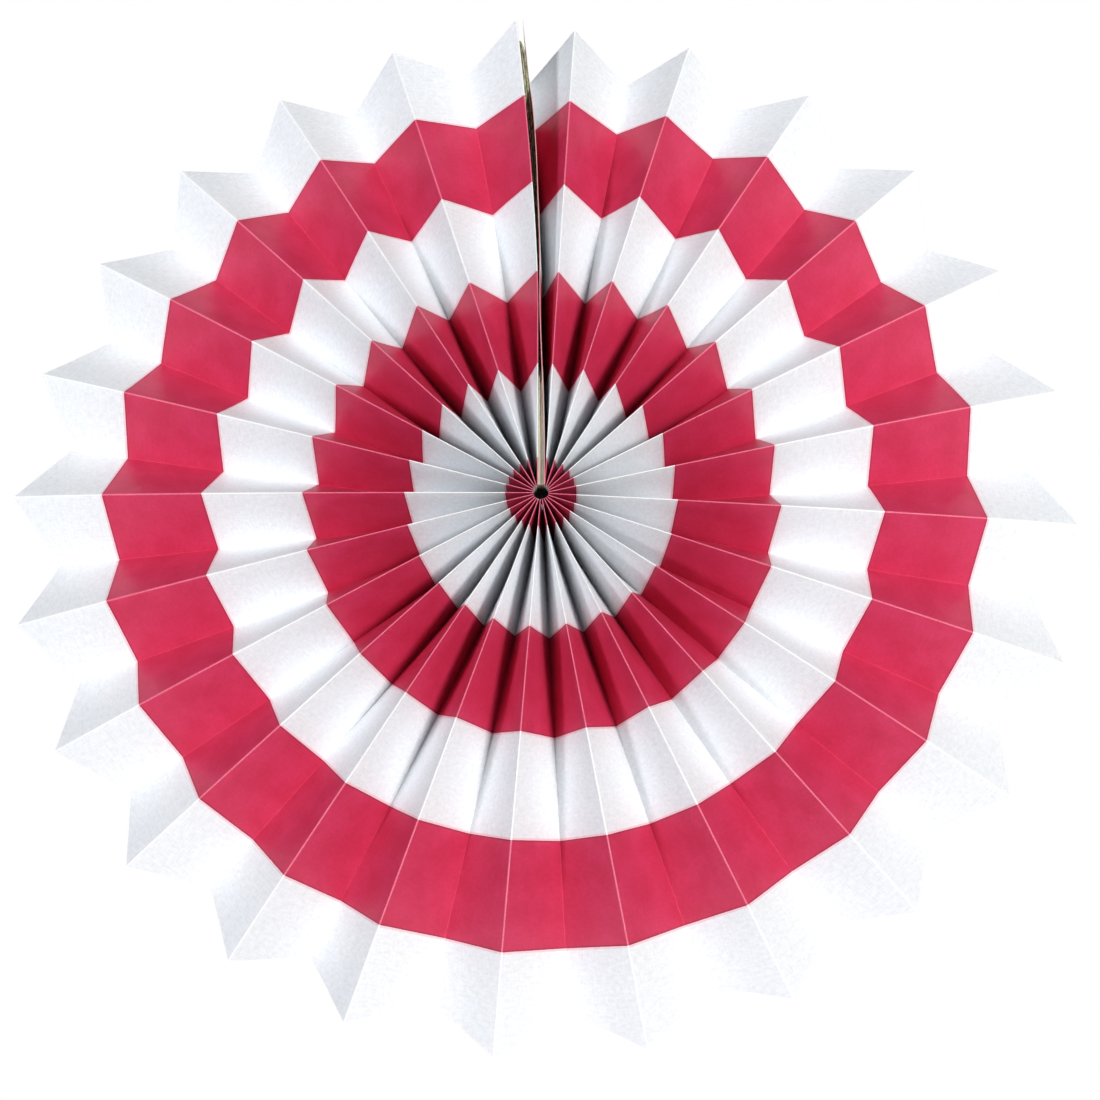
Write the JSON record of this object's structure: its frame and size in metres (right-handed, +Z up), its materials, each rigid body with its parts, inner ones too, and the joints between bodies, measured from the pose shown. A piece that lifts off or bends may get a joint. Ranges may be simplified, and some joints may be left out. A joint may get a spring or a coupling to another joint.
{
  "type": "paper fan rosette",
  "caption": "Round accordion-pleated card rosette with printed rings and pointed petals, opened all the way round and joined at two board-backed end panels.",
  "frame": {"origin": "centre of the rosette, on the hub's axis and half way through the depth of its pleats", "axes": "-Y is the printed front, +Z runs up along the seam where the two end boards meet, +X to the right seen from the front"},
  "size_m": [0.2997, 0.0219, 0.2995],
  "materials": {
    "printed_card": "matte",
    "greyboard": "matte",
    "adhesive": "satin",
    "thread": "matte"
  },
  "bodies": {
    "root": {"pleated_sheet": "printed_card", "left_end_board": "greyboard", "right_end_board": "greyboard", "seam_adhesive_strip": "adhesive", "binding_thread": "thread"}
  },
  "joints": []
}
